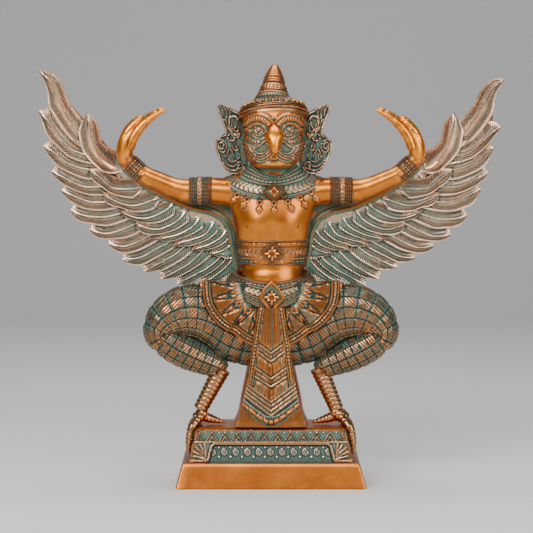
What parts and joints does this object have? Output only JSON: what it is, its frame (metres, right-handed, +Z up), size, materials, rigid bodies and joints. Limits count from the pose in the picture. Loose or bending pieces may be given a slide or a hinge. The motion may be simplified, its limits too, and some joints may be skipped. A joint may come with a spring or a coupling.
{
  "type": "garuda figure",
  "caption": "Bird-headed winged guardian squatting with raised hands and spread wings, cast in copper-toned metal, on a stepped plinth with a carved front.",
  "frame": {"origin": "centre of the plinth's underside", "axes": "+Z up; the figure faces -Y and spreads its wings along X"},
  "size_m": [0.3386, 0.074, 0.301],
  "materials": {
    "patinated_bronze": "cast brass in an antique copper tone, polished on the high skin and brown-green patinated in the chasing",
    "bronze": "cast brass in an antique copper tone, satin polish, green patina in the carved front"
  },
  "bodies": {
    "root": {"garuda_figure": "patinated_bronze", "plinth": "bronze"}
  },
  "joints": []
}
